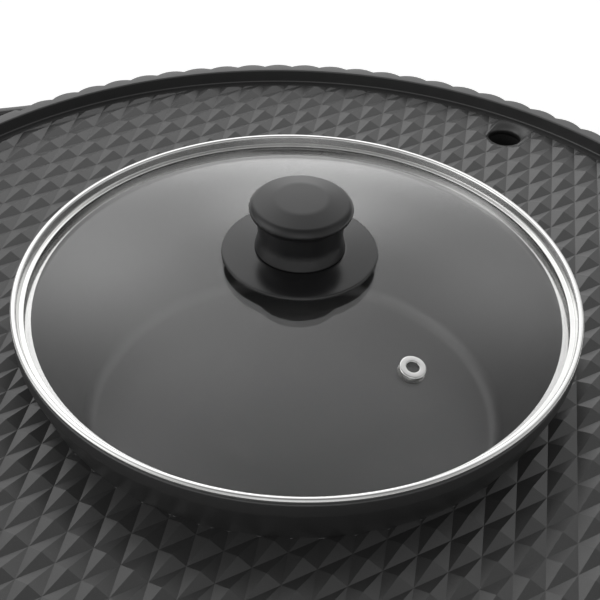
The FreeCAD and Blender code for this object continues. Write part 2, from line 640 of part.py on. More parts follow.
def grill_element():
    """Two nearly closed rings of one heater tube, joined by a return bend, legs turned down."""
    pieces = []
    outward = polar(1.0, GRILL_LOOP_START)
    for radius in GRILL_LOOP_RADII:
        start = polar(radius, GRILL_LOOP_START, GRILL_LOOP_Z)
        pieces.append(tube_bend(ELEMENT_TUBE_RADIUS, start, Vector(0, 0, GRILL_LOOP_Z), UP, GRILL_LOOP_SWEEP))
        pieces.append(tube_bend(ELEMENT_TUBE_RADIUS, start, start - UP * GRILL_LEG_BEND, outward, 90))
        place = element_leg_place(radius)
        leg_top_z = GRILL_LOOP_Z - GRILL_LEG_BEND
        pieces.append(upright(ELEMENT_TUBE_RADIUS, GRILL_LEG_END_Z, leg_top_z, place.x, place.y))
    middle = sum(GRILL_LOOP_RADII) / 2
    end_angle = GRILL_LOOP_START + GRILL_LOOP_SWEEP
    turn_start = polar(GRILL_LOOP_RADII[1], end_angle, GRILL_LOOP_Z)
    pieces.append(tube_bend(ELEMENT_TUBE_RADIUS, turn_start, polar(middle, end_angle, GRILL_LOOP_Z), UP, 180))
    return fuse(pieces)


def pot_element():
    """An open ring of heater tube under the well, its legs led out to the front."""
    reach = POT_LOOP_RADIUS + POT_LEG_BEND
    offset = POT_LEG_X + POT_LEG_BEND
    centre_y = -math.sqrt(reach ** 2 - offset ** 2)
    start_angle = math.degrees(math.atan2(centre_y, offset))
    loop_start = polar(POT_LOOP_RADIUS, start_angle, POT_LOOP_Z)
    sweep = -180.0 - 2 * start_angle + 360.0
    pieces = [tube_bend(ELEMENT_TUBE_RADIUS, loop_start, Vector(0, 0, POT_LOOP_Z), UP, sweep)]
    for side in (1, -1):
        centre = Vector(side * offset, centre_y, POT_LOOP_Z)
        start = Vector(side * POT_LEG_X, centre_y, POT_LOOP_Z)
        turn = 180.0 - abs(math.degrees(math.atan2(-centre_y, offset)))
        pieces.append(tube_bend(ELEMENT_TUBE_RADIUS, start, centre, UP * -side, turn))
        pieces.append(rod(ELEMENT_TUBE_RADIUS, Vector(side * POT_LEG_X, POT_LEG_END_Y, POT_LOOP_Z), start))
    return fuse(pieces)


def element_bracket(strip_range, radii, low, tube_z):
    """A sheet strip with an upright web under each ring of tube, notched to hold it."""
    thickness = 1.2
    half_length = 5.0
    pieces = [box(strip_range, (-half_length, half_length), (low, low + thickness))]
    for radius in radii:
        pieces.append(box((radius - 5.0, radius + 2.5), (-0.8, 0.8), (low, tube_z)))
    bracket = fuse(pieces)
    for radius in radii:
        channel = rod(ELEMENT_TUBE_RADIUS + FIT, Vector(radius, -9, tube_z), Vector(radius, 9, tube_z))
        bracket = bracket.cut(channel)
    return bracket


def grill_element_brackets():
    inner, outer = GRILL_LOOP_RADII
    bracket = element_bracket((inner - 8.0, outer + 2.5), GRILL_LOOP_RADII, PAN_FLOOR_Z + SHEET, GRILL_LOOP_Z)
    return Part.makeCompound(around_axis(bracket, (-45, 0, 45, 135, 180, 225)))


def pot_element_brackets():
    strip_range = (POT_LOOP_RADIUS - 10.0, POT_LOOP_RADIUS + 12.0)
    bracket = element_bracket(strip_range, [POT_LOOP_RADIUS], BOWL_FLOOR_Z + SHEET, POT_LOOP_Z)
    return Part.makeCompound(around_axis(bracket, (0, 90, 180)))


def element_insulators():
    """Ceramic bushes where the element legs pass through the sheet."""
    bushes = []
    bush_radius = 5.4
    bore = ELEMENT_TUBE_RADIUS + FIT
    for radius in GRILL_LOOP_RADII:
        place = element_leg_place(radius)
        outer = upright(bush_radius, PAN_FLOOR_Z - 6.0, PAN_FLOOR_Z + 5.0, place.x, place.y)
        bushes.append(outer.cut(upright(bore, PAN_FLOOR_Z - 7, PAN_FLOOR_Z + 6, place.x, place.y)))
    for x in (POT_LEG_X, -POT_LEG_X):
        centre = Vector(x, 0, POT_LOOP_Z)
        outer = along_y(bush_radius, centre, -121.0, -106.0)
        bushes.append(outer.cut(along_y(bore, centre, -122.0, -105.0)))
    return Part.makeCompound(bushes)


def plate_rests():
    """Heat-proof studs that carry the plate clear of the base."""
    low = LEDGE_TOP_Z + SHEET
    high = PLATE_UNDERSIDE_Z
    stud = turned([(0, low), (REST_RADIUS, low), (REST_RADIUS, high, 0.6), (0, high)])
    stud = stud.translated(Vector(REST_CIRCLE_RADIUS, 0, 0))
    return Part.makeCompound(around_axis(stud, REST_ANGLES))


def thermostat(centre):
    """A dial thermostat: case, threaded neck through the front and spade terminals."""
    case = box(
        (centre.x - CASE_HALF_WIDTH, centre.x + CASE_HALF_WIDTH), (CASE_FRONT_Y, CASE_BACK_Y),
        (centre.z - CASE_HALF_HEIGHT, centre.z + CASE_HALF_HEIGHT))
    neck = along_y(BUSH_RADIUS, centre, FRONT_FACE_Y - PANEL_THICKNESS, CASE_FRONT_Y)
    body = fuse([case, neck])
    body = body.cut(along_y(SHAFT_RADIUS + RUNNING_CLEARANCE, centre, FRONT_FACE_Y - 5, SHAFT_END_Y + 1.0))
    spades = []
    for x in (centre.x - SPADE_OFFSET, centre.x + SPADE_OFFSET):
        low = centre.z + SPADE_RISE
        spades.append(box((x - 3.1, x + 3.1), (CASE_BACK_Y, CASE_BACK_Y + SPADE_LENGTH), (low, low + SHEET)))
    return fuse([body] + spades)


def dial(centre):
    """A round dial with a skirt and a raised grip bar, on its own shaft."""
    back_y = FRONT_FACE_Y - PANEL_THICKNESS - 0.6
    place = Vector(centre.x, back_y, centre.z)
    face = back_y - DIAL_FACE_Y - DIAL_GRIP_PROUD
    disc = turned([
        (0, 0), (DIAL_RADIUS, 0, 0.4), (DIAL_RADIUS, 5.0, 1.5), (13.8, 7.5, 1.5), (13.4, face, 1.5),
        (0, face)], place, FRONT)
    grip = box(
        (centre.x - 2.6, centre.x + 2.6), (DIAL_FACE_Y, DIAL_FACE_Y + DIAL_GRIP_PROUD + 2.0),
        (centre.z - 12.8, centre.z + 12.8))
    knob = fuse([disc, grip])
    return knob.cut(along_y(SHAFT_RADIUS + 0.02, centre, back_y + 1, SHAFT_START_Y - 0.5))


def dial_shaft(centre):
    return along_y(SHAFT_RADIUS, centre, SHAFT_START_Y, SHAFT_END_Y)


def lamp_lens(centre):
    """A domed lens in the panel, with a stem that reaches back to its lamp."""
    place = Vector(centre.x, FRONT_FACE_Y - PANEL_THICKNESS, centre.z)
    proud = 1.2
    outline = [(0, -LENS_DEPTH), (LAMP_RADIUS, -LENS_DEPTH), (LAMP_RADIUS, proud, 1.0), (0, proud)]
    return turned(outline, place, FRONT)


def lamp_holders():
    lens_end_y = FRONT_FACE_Y - PANEL_THICKNESS + LENS_DEPTH
    holders = [along_y(LAMP_RADIUS, centre, lens_end_y + FIT, lens_end_y + 11.0) for centre in lamp_centres()]
    return Part.makeCompound(holders)


def drip_tray():
    """A drawer under the drain: open box, front panel with a finger pull."""
    wide = TRAY_HALF_WIDTH
    front_y = REAR_FACE_Y - TRAY_FRONT_THICKNESS
    outside = box((-wide, wide), (TRAY_INNER_Y, front_y), (TRAY_BOTTOM_Z, TRAY_TOP_Z))
    inside = box(
        (-wide + TRAY_WALL, wide - TRAY_WALL), (TRAY_INNER_Y + TRAY_WALL, front_y),
        (TRAY_BOTTOM_Z + TRAY_WALL, TRAY_TOP_Z + 1))
    across = (-TRAY_FRONT_HALF_WIDTH, TRAY_FRONT_HALF_WIDTH)
    front = box(across, (front_y, REAR_FACE_Y), (TRAY_BOTTOM_Z, TRAY_TOP_Z + 1.5))
    pull = box((-24.0, 24.0), (REAR_FACE_Y, REAR_FACE_Y + 5.5), (TRAY_TOP_Z - 6.0, TRAY_TOP_Z - 3.0))
    return fuse([outside.cut(inside), front, pull])


def tray_rails():
    """Two runners under the drawer, each with an upright side guide."""
    runner = box(RAIL_X, RAIL_Y, (BASE_BOTTOM_Z + SHELL_WALL + 2.0, TRAY_BOTTOM_Z))
    guide = box((TRAY_HALF_WIDTH + 0.4, RAIL_X[1]), RAIL_Y, (TRAY_BOTTOM_Z, TRAY_BOTTOM_Z + 9.0))
    rail = fuse([runner, guide])
    return Part.makeCompound([rail, rail.mirror(ORIGIN, Vector(1, 0, 0))])


def power_inlet():
    """An appliance inlet: flange on the flat side of the base and an open socket behind it."""
    outside = SIDE_FACE_X
    flange = centred_box((outside, outside + 2.5), INLET_HALF_WIDTH + 3.5, INLET_HALF_HEIGHT + 3.0)
    body = centred_box((outside - INLET_DEPTH, outside), INLET_HALF_WIDTH, INLET_HALF_HEIGHT)
    socket = centred_box((outside - SOCKET_DEPTH, outside + 5), SOCKET_HALF_WIDTH, SOCKET_HALF_HEIGHT)
    shape = fuse([flange, body]).cut(socket)
    for pin in inlet_pin_list():
        shape = shape.cut(pin)
    return shape


def inlet_pin_list():
    """Flat pins that stand in the socket and pass through its floor to the leads."""
    pins = []
    for y, rise in PIN_PLACES:
        z = INLET_Z + rise
        pins.append(box((PIN_TAIL_X, SIDE_FACE_X - 3.0), (y - 1.0, y + 1.0), (z - 2.0, z + 2.0)))
    return pins


def inlet_pins():
    return Part.makeCompound(inlet_pin_list())


def terminal_rods(radius, height):
    middle_x = sum(BLOCK_X) / 2
    low = COVER_TOP_Z + 8.0
    return [upright(radius, low, low + height, middle_x, y) for y in (-TERMINAL_PITCH, 0.0, TERMINAL_PITCH)]


def terminal_block():
    """A three-way ceramic block on the bottom cover."""
    block = box(BLOCK_X, (-20.0, 20.0), (COVER_TOP_Z, COVER_TOP_Z + BLOCK_HEIGHT))
    for well in terminal_rods(3.0, BLOCK_HEIGHT):
        block = block.cut(well)
    return block


def terminal_screws():
    return Part.makeCompound(terminal_rods(2.8, 4.0))


def thermal_fuse():
    """A thermal cut-out in a clip under the ring pan."""
    clip_thickness = 1.2
    barrel_radius = 3.0
    middle_x = -148.0
    clip = box((middle_x - 10.0, middle_x + 10.0), (-6.0, 6.0), (PAN_FLOOR_Z - clip_thickness, PAN_FLOOR_Z))
    barrel_z = PAN_FLOOR_Z - clip_thickness - 0.8 * barrel_radius
    barrel = rod(barrel_radius, Vector(middle_x - 8.0, 0, barrel_z), Vector(middle_x + 8.0, 0, barrel_z))
    return fuse([clip, barrel])


def sensor_bulbs():
    """The two thermostats' capillary bulbs, one in the ring pan and one beside the well's element."""
    bulbs = []
    for y, z, half, _, _ in SENSOR_PLACES:
        bulbs.append(rod(SENSOR_RADIUS, Vector(-half, y, z), Vector(half, y, z)))
    return Part.makeCompound(bulbs)


def bulb_clips():
    clips = []
    for y, z, _, spacing, floor in SENSOR_PLACES:
        for x in (-spacing, spacing):
            clips.append(box((x - 3, x + 3), (y - 4.0, y + 4.0), (floor, z - SENSOR_RADIUS - FIT)))
    return Part.makeCompound(clips)


def wiring():
    """Sleeved leads from the inlet to the block, thermostats and both elements."""
    low = COVER_TOP_Z + 7.5
    block_x = BLOCK_X[1] + FIT
    middle_x = sum(BLOCK_X) / 2
    pin_x = PIN_TAIL_X - FIT
    spade_y = CASE_BACK_Y + SPADE_LENGTH + FIT
    spade_z = DIAL_Z + SPADE_RISE + SHEET / 2
    bend_x = BLOCK_X[1] + 8.0
    side_y = -158.0
    leg = element_leg_place(GRILL_LOOP_RADII[0])
    routes = []
    for (pin_y, rise), side in zip(PIN_PLACES[:2], (-1, 1)):
        z = INLET_Z + rise
        terminal_y = side * TERMINAL_PITCH
        routes.append([
            Vector(pin_x, pin_y, z), Vector(bend_x, pin_y, z), Vector(bend_x, terminal_y, low),
            Vector(block_x, terminal_y, low)])
    earth_z = INLET_Z + PIN_PLACES[2][1]
    routes.append([
        Vector(pin_x, 0, earth_z), Vector(145.0, 0, earth_z), Vector(145.0, 0, PAN_FLOOR_Z - FIT)])
    routes.append([
        Vector(middle_x, -20.0 - FIT, low), Vector(middle_x, -60.0, low), Vector(70.0, side_y, low),
        Vector(70.0, side_y, spade_z), Vector(DIAL_X + SPADE_OFFSET, side_y, spade_z),
        Vector(DIAL_X + SPADE_OFFSET, spade_y, spade_z)])
    routes.append([
        Vector(DIAL_X - SPADE_OFFSET, spade_y, spade_z), Vector(DIAL_X - SPADE_OFFSET, -160.0, spade_z),
        Vector(leg.x, leg.y, spade_z), Vector(leg.x, leg.y, GRILL_LEG_END_Z - FIT)])
    routes.append([
        Vector(SPADE_OFFSET - DIAL_X, spade_y, spade_z), Vector(SPADE_OFFSET - DIAL_X, -150.0, spade_z),
        Vector(-POT_LEG_X, -140.0, POT_LOOP_Z), Vector(-POT_LEG_X, POT_LEG_END_Y - FIT, POT_LOOP_Z)])
    return Part.makeCompound([tube_route(LEAD_RADIUS, points, 2.5) for points in routes])


BUILDERS = {
    "lid_glass": lid_glass,
    "lid_band": lid_band,
    "lid_vent_grommet": lid_vent_grommet,
    "lid_knob": lid_knob,
    "lid_knob_guard": lid_knob_guard,
    "lid_knob_gasket": lid_knob_gasket,
    "lid_knob_washer": lid_knob_washer,
    "lid_knob_screw": lid_knob_screw,
    "grill_plate": grill_plate,
    "plate_rim": plate_rim,
    "plate_well": plate_well,
    "plate_handles": plate_handles,
    "drain_spout": drain_spout,
    "base_shell": base_shell,
    "control_panel": control_panel,
    "bottom_cover": bottom_cover,
    "bottom_cover_screws": bottom_cover_screws,
    "feet": feet,
    "foot_screws": foot_screws,
    "grill_reflector": grill_reflector,
    "pot_reflector": pot_reflector,
    "grill_element": grill_element,
    "pot_element": pot_element,
    "grill_element_brackets": grill_element_brackets,
    "pot_element_brackets": pot_element_brackets,
    "element_insulators": element_insulators,
    "plate_rests": plate_rests,
    "grill_thermostat": lambda: thermostat(dial_centres()[0]),
    "pot_thermostat": lambda: thermostat(dial_centres()[1]),
    "grill_dial": lambda: dial(dial_centres()[0]),
    "pot_dial": lambda: dial(dial_centres()[1]),
    "grill_dial_shaft": lambda: dial_shaft(dial_centres()[0]),
    "pot_dial_shaft": lambda: dial_shaft(dial_centres()[1]),
    "grill_lamp_lens": lambda: lamp_lens(lamp_centres()[0]),
    "pot_lamp_lens": lambda: lamp_lens(lamp_centres()[1]),
    "lamp_holders": lamp_holders,
    "drip_tray": drip_tray,
    "tray_rails": tray_rails,
    "power_inlet": power_inlet,
    "inlet_pins": inlet_pins,
    "terminal_block": terminal_block,
    "terminal_screws": terminal_screws,
    "thermal_fuse": thermal_fuse,
    "sensor_bulbs": sensor_bulbs,
    "bulb_clips": bulb_clips,
    "wiring": wiring,
}

os.makedirs("parts", exist_ok=True)
for node, build in BUILDERS.items():
    shape = build()
    if not shape.isValid() or shape.Volume <= 0:
        raise RuntimeError(node + " is not a valid solid")
    solids = len(shape.Solids)
    print(node, solids, round(shape.Volume / 1000, 2), "cm3")
    shape.exportStep(os.path.join("parts", node + ".step"))
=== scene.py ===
import json
import math

import bmesh
import bpy
import numpy as np
from mathutils import Matrix, Vector


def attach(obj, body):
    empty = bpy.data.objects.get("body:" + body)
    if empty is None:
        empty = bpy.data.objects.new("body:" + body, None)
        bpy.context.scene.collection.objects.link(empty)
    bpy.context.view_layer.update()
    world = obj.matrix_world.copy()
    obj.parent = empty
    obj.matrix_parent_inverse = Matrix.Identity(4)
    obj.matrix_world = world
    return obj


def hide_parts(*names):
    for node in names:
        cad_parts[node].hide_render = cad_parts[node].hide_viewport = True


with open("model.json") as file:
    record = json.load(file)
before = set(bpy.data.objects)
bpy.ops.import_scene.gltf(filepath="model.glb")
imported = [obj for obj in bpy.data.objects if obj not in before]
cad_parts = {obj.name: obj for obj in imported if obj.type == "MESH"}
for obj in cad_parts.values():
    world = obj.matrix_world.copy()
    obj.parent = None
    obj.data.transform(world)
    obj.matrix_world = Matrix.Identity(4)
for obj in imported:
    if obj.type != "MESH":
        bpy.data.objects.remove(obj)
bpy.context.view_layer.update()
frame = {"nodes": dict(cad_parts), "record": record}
MM = 0.001

# Camera, in millimetres and degrees: it stands in front and to the right and looks down at the lid.
CAMERA_PLACE = (230.6, -346.7, 448.4)
CAMERA_AZIMUTH = 33.5
CAMERA_DIP = 39.48
CAMERA_ROLL = 2.263
CAMERA_LENS = 75.83
SENSOR_WIDTH = 36.0

# Cooking plate, in millimetres
PLATE_Z = 84.6
PLATE_UNDERSIDE_Z = 80.6
RIM_TOP_Z = 91.8
RIM_INNER_RADIUS = 221.6
LOBE_RADIUS = 228.9
CUSP_RADIUS = 226.7
SCALLOPS_PER_SIDE = 38
SCALLOP_PITCH = 3.92
SCALLOP_SIDES = (90.45, 270.45)
PLAIN_RIM_HALF_WIDTH = 54.0
SKIRT_BOTTOM_Z = 75.5
SKIRT_INNER_RADIUS = 223.6
WELL_FLOOR_Z = 37.4
WELL_UNDERSIDE_Z = 33.6
WELL_FLOOR_RADIUS = 94.1
WELL_MOUTH_RADIUS = 114.0
WELL_MOUTH_Z = 101.4
WELL_LEDGE_Z = 102.8
WELL_COLLAR_RADIUS = 117.8
WELL_RIM_RADIUS = 119.8
WELL_RIM_Z = 110.7
WELL_FOOT_RADIUS = 112.9
WELL_WALL = 3.6
WELL_WALL_SLOPE = 0.311       # outward for each millimetre of height, under the deck
DRAIN_RADIUS_FROM_AXIS = 202.4
DRAIN_AZIMUTH = 91.2
DRAIN_HOLE_RADIUS = 8.9
DRAIN_FLAT_RADIUS = 10.1
SPOUT_RADIUS = 11.2
SPOUT_BOTTOM_Z = 62.0
FIELD_INNER_RADIUS = 112.0
FIELD_OUTER_RADIUS = 217.4
PYRAMID_HEIGHT = 1.9
END_SLOPE = 0.5               # of the pyramids' flanks where the field ends
PYRAMID_SHORT_DIAGONAL = 12.92
PYRAMID_LONG_DIAGONAL = 26.85
PATTERN_VERTEX = (53.35, 168.9)   # where four pyramids meet
HANDLE_BOTTOM_Z = 84.0
HANDLE_TOP_Z = 91.6
HANDLE_OUTER_POLES = ((-219.6, 64.5), (-244.4, 33.1), (-260.0, 30.0), (-260.0, 0.0))
HANDLE_INNER_POLES = ((-221.0, 53.5), (-239.5, 29.8), (-248.0, 26.0), (-248.0, 0.0))

# Lid, in millimetres
DOME_RADIUS = 318.0
DOME_TOP_Z = 130.1
GLASS_THICKNESS = 4.0
GLASS_RADIUS = 116.0
LID_RADIUS = 120.0
BEAD_TOP_Z = 113.3
BEAD_BOTTOM_Z = 110.7
BEAD_INNER_RADIUS = 117.5
BAND_BOTTOM_Z = 103.2
BAND_SHEET = 0.6
BAND_LIP_RADIUS = 114.6
BAND_LIP_Z = 108.8
BAND_FLANGE_RADIUS = 111.2
VENT_FROM_AXIS = 73.4
VENT_AZIMUTH = -18.6
EYELET_RADIUS = 5.4
EYELET_NECK_RADIUS = 3.7
EYELET_BORE_RADIUS = 2.55
KNOB_BOTTOM_Z = 134.4
KNOB_TOP_Z = 158.6
GUARD_BOTTOM_Z = 130.6
GUARD_RADIUS = 32.6
GUARD_BORE_RADIUS = 2.3


# Mesh helpers: everything is worked out in millimetres and stored in metres

def polar(radius, degrees):
    turn = math.radians(degrees)
    return np.array([radius * math.cos(turn), radius * math.sin(turn)])


def rounded(points, steps=6):
    """An outline whose corners, given as (x, y, radius), are turned into arcs."""
    outline = []
    count = len(points)
    for index, point in enumerate(points):
        corner = np.array(point[:2], float)
        radius = point[2] if len(point) > 2 else 0.0
        if radius <= 0:
            outline.append(tuple(corner))
            continue
        before = np.array(points[index - 1][:2], float) - corner
        after = np.array(points[(index + 1) % count][:2], float) - corner
        before /= np.linalg.norm(before)
        after /= np.linalg.norm(after)
        half = math.acos(max(-1.0, min(1.0, float(before @ after)))) / 2
        middle = before + after
        centre = corner + middle / np.linalg.norm(middle) * radius / math.sin(half)
        start = corner + before * radius / math.tan(half) - centre
        end = corner + after * radius / math.tan(half) - centre
        sweep = math.atan2(start[0] * end[1] - start[1] * end[0], start @ end)
        first = math.atan2(start[1], start[0])
        for step in range(steps + 1):
            angle = first + sweep * step / steps
            outline.append((centre[0] + radius * math.cos(angle), centre[1] + radius * math.sin(angle)))
    return outline


def lathe(profile, angles, reshape=None):
    """Turns a closed outline of (radius, z) about Z. Outline points on the axis become single vertices.

    The outline can be given another radius at each angle by reshape."""
    vertices = []
    rings = []
    for radius, z in profile:
        if radius < 1e-6:
            rings.append([len(vertices)])
            vertices.append((0.0, 0.0, z))
            continue
        rings.append(list(range(len(vertices), len(vertices) + len(angles))))
        for angle in angles:
            x, y = polar(reshape(radius, angle) if reshape else radius, angle)
            vertices.append((x, y, z))
    faces = []
    count = len(angles)
    for ring, following in zip(rings, rings[1:] + rings[:1]):
        if len(ring) == 1 and len(following) == 1:
            continue
        for index in range(count):
            after = (index + 1) % count
            corners = [ring[index % len(ring)], following[index % len(following)],
                       following[after % len(following)], ring[after % len(ring)]]
            faces.append(list(dict.fromkeys(corners)))
    return vertices, faces


def even_angles(count):
    return [360.0 * index / count for index in range(count)]


def make_mesh(name, parts, sharp=35.0):
    """One mesh from (vertices, faces) parts in millimetres."""
    vertices = []
    faces = []
    for part_vertices, part_faces in parts:
        base = len(vertices)
        vertices.extend(part_vertices)
        faces.extend([[base + corner for corner in face] for face in part_faces])
    mesh = bpy.data.meshes.new(name)
    mesh.from_pydata([tuple(float(c) * MM for c in v) for v in vertices], [], faces)
    mesh.validate()
    mesh.polygons.foreach_set("use_smooth", [True] * len(mesh.polygons))
    mesh.set_sharp_from_angle(angle=math.radians(sharp))
    return mesh


def make_piece(name, parts, material, body, replaced=(), sharp=35.0):
    mesh = make_mesh(name, parts, sharp)
    obj = bpy.data.objects.new(name, mesh)
    bpy.context.scene.collection.objects.link(obj)
    obj.data.materials.append(material)
    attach(obj, body)
    if replaced:
        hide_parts(*replaced)
    return obj


def outward(obj):
    """Turns every closed shell of a mesh so that its faces look out."""
    work = bmesh.new()
    work.from_mesh(obj.data)
    bmesh.ops.recalc_face_normals(work, faces=work.faces)
    work.to_mesh(obj.data)
    work.free()


def cut(obj, vertices, faces):
    """Cuts a closed shape out of a piece."""
    tool = bpy.data.objects.new("cutter", make_mesh("cutter", [(vertices, faces)]))
    bpy.context.scene.collection.objects.link(tool)
    outward(tool)
    modifier = obj.modifiers.new("cut", "BOOLEAN")
    modifier.operation = "DIFFERENCE"
    modifier.solver = "EXACT"
    modifier.object = tool
    bpy.context.view_layer.update()
    evaluated = obj.evaluated_get(bpy.context.evaluated_depsgraph_get())
    mesh = bpy.data.meshes.new_from_object(evaluated)
    obj.modifiers.clear()
    obj.data = mesh
    bpy.data.objects.remove(tool)


# Materials

class Nodes:
    """A small helper to write a shader as a chain of nodes."""

    def __init__(self, name):
        self.material = bpy.data.materials.new(name)
        self.material.use_nodes = True
        self.tree = self.material.node_tree
        self.shader = self.tree.nodes["Principled BSDF"]

    def add(self, kind):
        return self.tree.nodes.new(kind)

    def link(self, source, target):
        self.tree.links.new(source, target)

    def noise(self, scale, detail=3.0, roughness=0.5):
        node = self.add("ShaderNodeTexNoise")
        node.inputs["Scale"].default_value = scale
        node.inputs["Detail"].default_value = detail
        node.inputs["Roughness"].default_value = roughness
        self.link(self.add("ShaderNodeTexCoord").outputs["Object"], node.inputs["Vector"])
        return node.outputs["Fac"]

    def ramp(self, source, stops):
        node = self.add("ShaderNodeValToRGB")
        node.color_ramp.elements[0].position = stops[0][0]
        node.color_ramp.elements[0].color = (*stops[0][1], 1)
        node.color_ramp.elements[1].position = stops[-1][0]
        node.color_ramp.elements[1].color = (*stops[-1][1], 1)
        for position, colour in stops[1:-1]:
            element = node.color_ramp.elements.new(position)
            element.color = (*colour, 1)
        self.link(source, node.inputs["Fac"])
        return node.outputs["Color"]

    def spread(self, source, low, high):
        node = self.add("ShaderNodeMapRange")
        node.inputs["To Min"].default_value = low
        node.inputs["To Max"].default_value = high
        self.link(source, node.inputs["Value"])
        return node.outputs["Result"]

    def bump(self, source, strength, distance):
        node = self.add("ShaderNodeBump")
        node.inputs["Strength"].default_value = strength
        node.inputs["Distance"].default_value = distance
        self.link(source, node.inputs["Height"])
        self.give(node.outputs["Normal"], "Normal")

    def set(self, **sockets):
        for key, value in sockets.items():
            self.shader.inputs[key.replace("_", " ")].default_value = value

    def give(self, source, socket):
        """Feeds one of the shader's own sockets."""
        self.link(source, self.shader.inputs[socket])


def grey(value):
    return (value, value, value)


def nonstick_material():
    """Dark coating with a fine even grain and sparse lighter flecks."""
    n = Nodes("nonstick_coating")
    n.set(Specular_IOR_Level=1.0)
    fleck = n.noise(2600.0, 2.0, 0.6)
    n.give(n.ramp(fleck, [(0.3, grey(0.02)), (0.62, grey(0.026)), (0.74, grey(0.05))]), "Base Color")
    n.give(n.spread(n.noise(90.0, 4.0), 0.36, 0.46), "Roughness")
    n.bump(n.noise(1500.0, 3.0, 0.6), 0.15, 0.0001)
    return n.material


def glass_material():
    n = Nodes("tempered_glass")
    n.set(Transmission_Weight=1.0, IOR=1.5, Roughness=0.0)
    n.give(n.ramp(n.noise(8.0, 2.0), [(0.3, grey(0.93)), (0.7, grey(0.95))]), "Base Color")
    return n.material


def metal_material(name, colour, rough, grain_scale=600.0):
    spread = 0.06
    n = Nodes(name)
    n.set(Metallic=1.0)
    low = tuple(c * 0.92 for c in colour)
    n.give(n.ramp(n.noise(60.0, 4.0), [(0.35, low), (0.7, colour)]), "Base Color")
    n.give(n.spread(n.noise(grain_scale, 3.0), rough - spread, rough + spread), "Roughness")
    n.bump(n.noise(grain_scale, 2.0), 0.05, 0.0001)
    return n.material


def plastic_material(name, colour, rough, grain=0.1, grain_scale=1800.0, colour_spread=0.25):
    n = Nodes(name)
    low = tuple(c * (1 - colour_spread) for c in colour)
    n.give(n.ramp(n.noise(45.0, 5.0), [(0.3, low), (0.7, colour)]), "Base Color")
    n.give(n.spread(n.noise(120.0, 4.0), rough - 0.05, rough + 0.05), "Roughness")
    n.bump(n.noise(grain_scale, 3.0, 0.6), grain, 0.0003)
    return n.material


COATING = nonstick_material()
GLASS = glass_material()
BAND_STEEL = metal_material("polished_band_steel", (0.82, 0.82, 0.81), 0.16)
EYELET_STEEL = metal_material("eyelet_steel", (0.75, 0.75, 0.74), 0.2)
KNOB_PLASTIC = plastic_material("black_phenolic", (0.012, 0.012, 0.0125), 0.3, 0.04)
GUARD_PLASTIC = plastic_material("black_guard_phenolic", (0.012, 0.012, 0.0125), 0.22, 0.03)

SLOT_MATERIALS = {
    "nonstick_casting": COATING,
    "lid_glass": GLASS,
    "polished_steel": BAND_STEEL,
    "knob_plastic": KNOB_PLASTIC,
    "silicone": plastic_material("silicone", (0.03, 0.03, 0.03), 0.55),
    "base_plastic": plastic_material("textured_base_plastic", (0.022, 0.022, 0.023), 0.5, 0.5),
    "panel_plastic": plastic_material("panel_plastic", (0.05, 0.05, 0.053), 0.32, 0.06),
    "sheet_steel": metal_material("aluminised_sheet", (0.62, 0.63, 0.64), 0.38, 900.0),
    "element_sheath": metal_material("heater_sheath", (0.26, 0.24, 0.22), 0.45, 700.0),
    "screw_steel": metal_material("zinc_screws", (0.62, 0.62, 0.6), 0.33),
    "ceramic": plastic_material("steatite", (0.82, 0.8, 0.74), 0.5, 0.15, colour_spread=0.08),
    "foot_rubber": plastic_material("foot_rubber", (0.02, 0.02, 0.02), 0.8, 0.4),
    "thermostat_body": plastic_material("brown_phenolic", (0.3, 0.24, 0.16), 0.5, 0.1),
    "lens": plastic_material("red_lens", (0.55, 0.05, 0.03), 0.15, 0.02),
    "contact_metal": metal_material("contact_brass", (0.8, 0.66, 0.36), 0.25),
    "wire_sleeve": plastic_material("braided_sleeve", (0.75, 0.73, 0.67), 0.8, 0.6, 900.0, 0.1),
}


def dress_frame_nodes():
    """Gives every CAD node the material of its slot in the record."""
    slots = {part["node"]: part["material_slot"] for part in frame["record"]["subparts"]}
    for node, obj in frame["nodes"].items():
        obj.data.materials.clear()
        obj.data.materials.append(SLOT_MATERIALS[slots[node]])


# Cooking plate

def scallop_reshape(radius, angle):
    """Pulls the outer wall in between the lobes. Behind the handles the wall stays plain."""
    fixed = SKIRT_INNER_RADIUS + 0.5
    behind_handle = abs(LOBE_RADIUS * math.sin(math.radians(angle))) < PLAIN_RIM_HALF_WIDTH
    if radius < fixed or behind_handle:
        return radius
    half_span = SCALLOPS_PER_SIDE * SCALLOP_PITCH / 2
    from_side = min(abs((angle - side + 180) % 360 - 180) for side in SCALLOP_SIDES)
    lobe = 0.0
    if from_side < half_span:
        phase = (from_side / SCALLOP_PITCH) % 1.0
        lobe = 1.0 - (2 * phase - 1) ** 2
    drop = (LOBE_RADIUS - CUSP_RADIUS) * (1 - lobe)
    return radius - drop * min(1.0, (radius - fixed) / 2.0)


def scallop_angles(per_lobe=8):
    half_span = SCALLOPS_PER_SIDE * SCALLOP_PITCH / 2
    angles = []
    for side in SCALLOP_SIDES:
        count = SCALLOPS_PER_SIDE * per_lobe
        angles.extend(side - half_span + 2 * half_span * index / count for index in range(count))
        rest = 180.0 - 2 * half_span
        steps = 60
        angles.extend(side + half_span + rest * index / steps for index in range(steps))
    return angles


